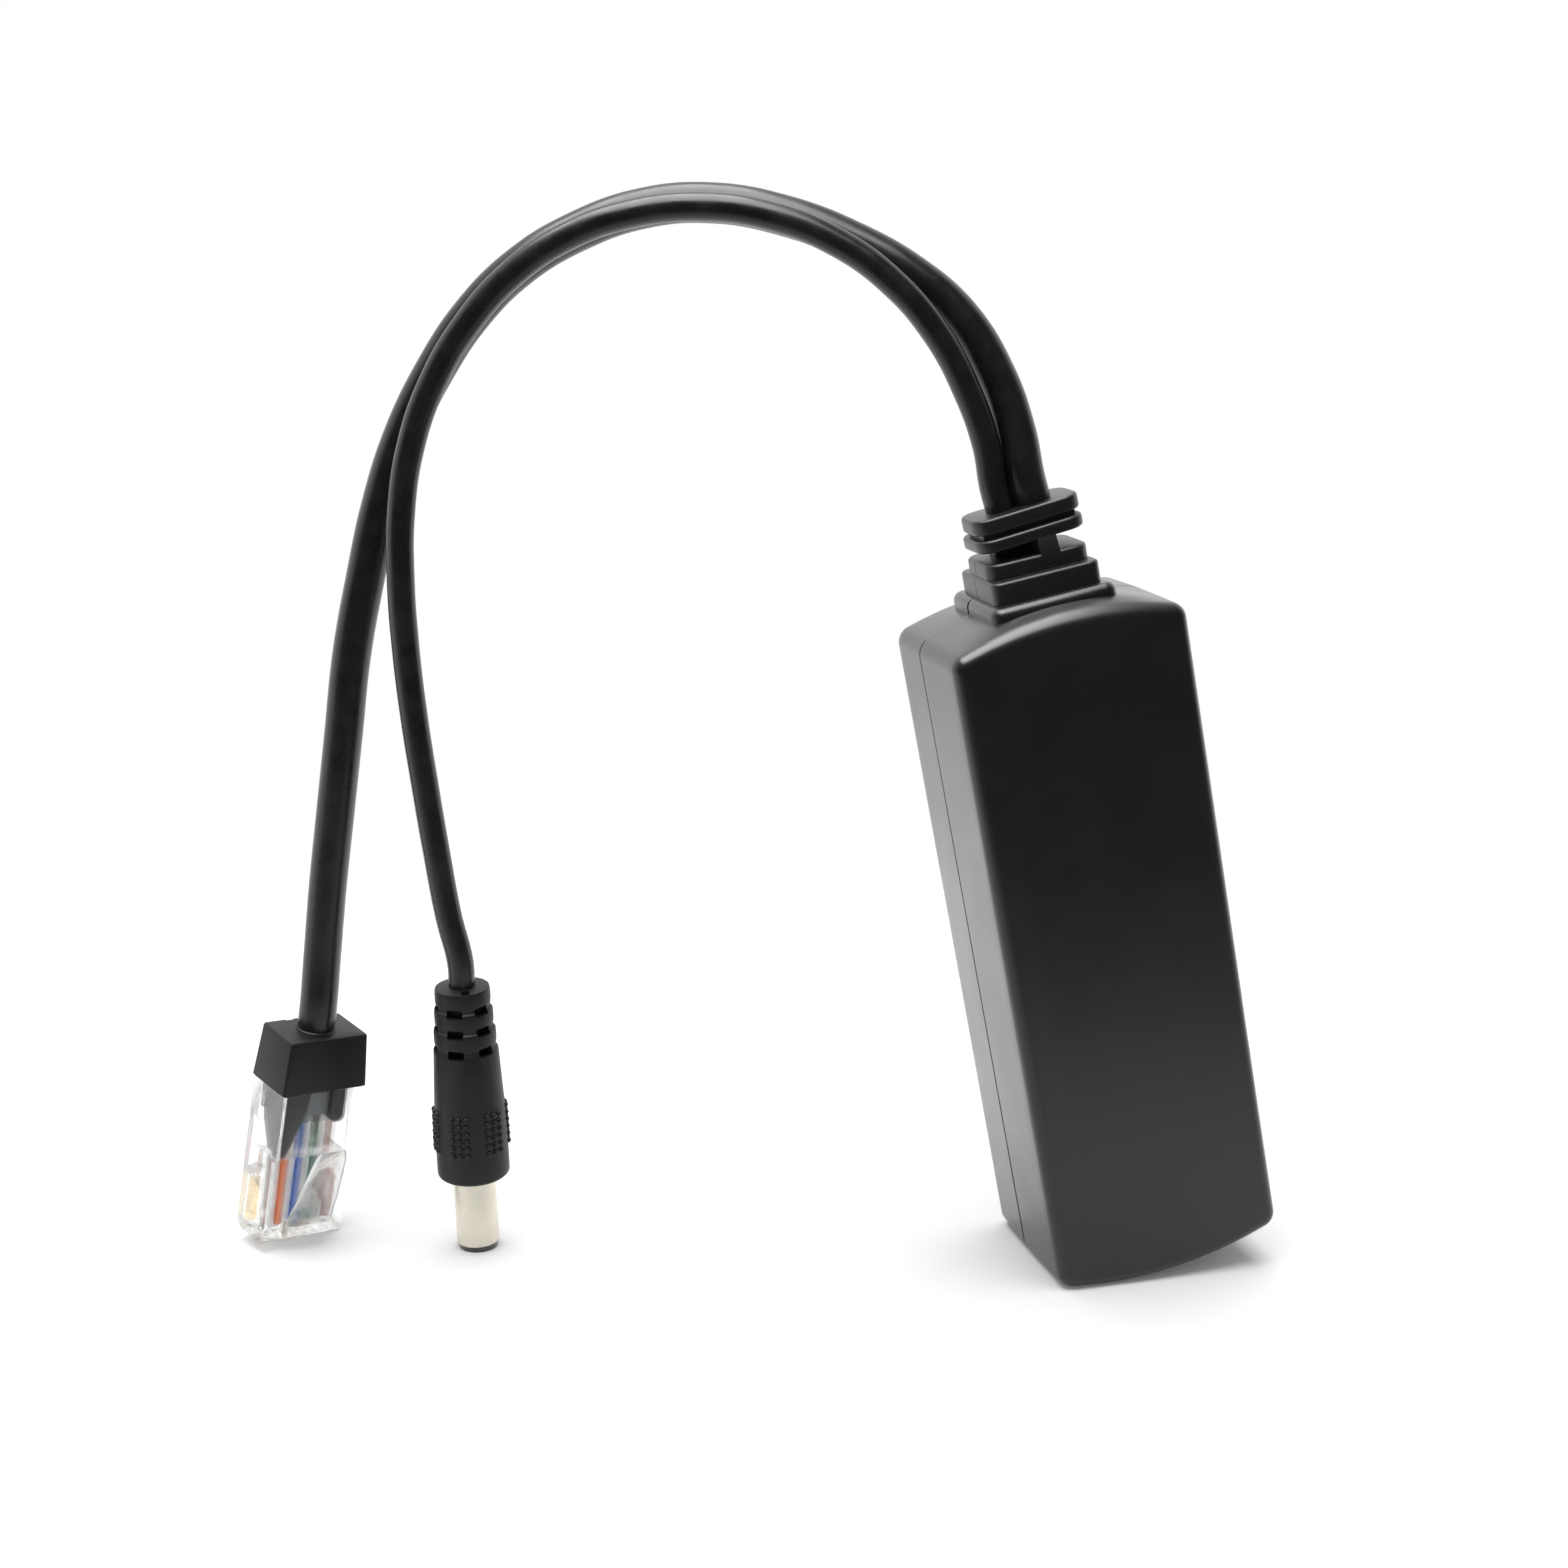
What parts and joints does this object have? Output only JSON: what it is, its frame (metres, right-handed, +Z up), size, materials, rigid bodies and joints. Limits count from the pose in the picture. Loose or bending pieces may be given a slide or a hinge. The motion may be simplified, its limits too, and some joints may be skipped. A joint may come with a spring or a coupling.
{
  "type": "poe splitter",
  "caption": "Small black plastic box with a network socket in its lower end and two short cords, one to a clear network plug and one to a round power plug.",
  "frame": {"origin": "floor under the middle of the housing's bounding box", "axes": "+Z up, +X across the housing's face to the right, +Y from the front face to the back; the housing leans 11 degrees towards -X"},
  "size_m": [0.1275, 0.0497, 0.1349],
  "materials": {
    "shell_plastic": "satin",
    "relief_plastic": "matte",
    "cord_jacket": "satin",
    "board": "satin",
    "socket_plastic": "satin",
    "contact_gold": "polished",
    "chip_epoxy": "matte",
    "ferrite": "matte",
    "bobbin_plastic": "matte",
    "winding_tape": "satin",
    "copper_wire": "satin",
    "capacitor_sleeve": "satin",
    "clear_plastic": "clear",
    "wire_white": "satin",
    "wire_orange": "satin",
    "wire_green": "satin",
    "wire_blue": "satin",
    "wire_brown": "satin",
    "plug_nickel": "polished",
    "handle_plastic": "matte",
    "insulator_plastic": "satin"
  },
  "bodies": {
    "root": {"front_shell": "shell_plastic", "back_shell": "shell_plastic", "strain_relief": "relief_plastic", "network_cord": "cord_jacket", "power_cord": "cord_jacket", "network_cord_end": "cord_jacket", "power_cord_end": "cord_jacket", "circuit_board": "board", "socket_block": "socket_plastic", "socket_contact_1": "contact_gold", "socket_contact_2": "contact_gold", "socket_contact_3": "contact_gold", "socket_contact_4": "contact_gold", "socket_contact_5": "contact_gold", "socket_contact_6": "contact_gold", "socket_contact_7": "contact_gold", "socket_contact_8": "contact_gold", "network_transformer": "chip_epoxy", "bridge_rectifier_1": "chip_epoxy", "bridge_rectifier_2": "chip_epoxy", "controller_chip": "chip_epoxy", "output_diode": "chip_epoxy", "optocoupler": "chip_epoxy", "transformer_core": "ferrite", "choke_core": "ferrite", "transformer_bobbin": "bobbin_plastic", "transformer_winding": "winding_tape", "choke_winding": "copper_wire", "input_capacitor": "capacitor_sleeve", "output_capacitor": "capacitor_sleeve", "plug_body": "clear_plastic", "plug_boot": "relief_plastic", "plug_contact_1": "contact_gold", "plug_contact_2": "contact_gold", "plug_contact_3": "contact_gold", "plug_contact_4": "contact_gold", "plug_contact_5": "contact_gold", "plug_contact_6": "contact_gold", "plug_contact_7": "contact_gold", "plug_contact_8": "contact_gold", "conductor_1": "wire_white", "conductor_2": "wire_orange", "conductor_3": "wire_white", "conductor_4": "wire_blue", "conductor_5": "wire_white", "conductor_6": "wire_green", "conductor_7": "wire_white", "conductor_8": "wire_brown", "power_plug_handle": "handle_plastic", "power_plug_sleeve": "plug_nickel", "power_plug_insulator": "insulator_plastic", "power_plug_centre": "plug_nickel"}
  },
  "joints": []
}
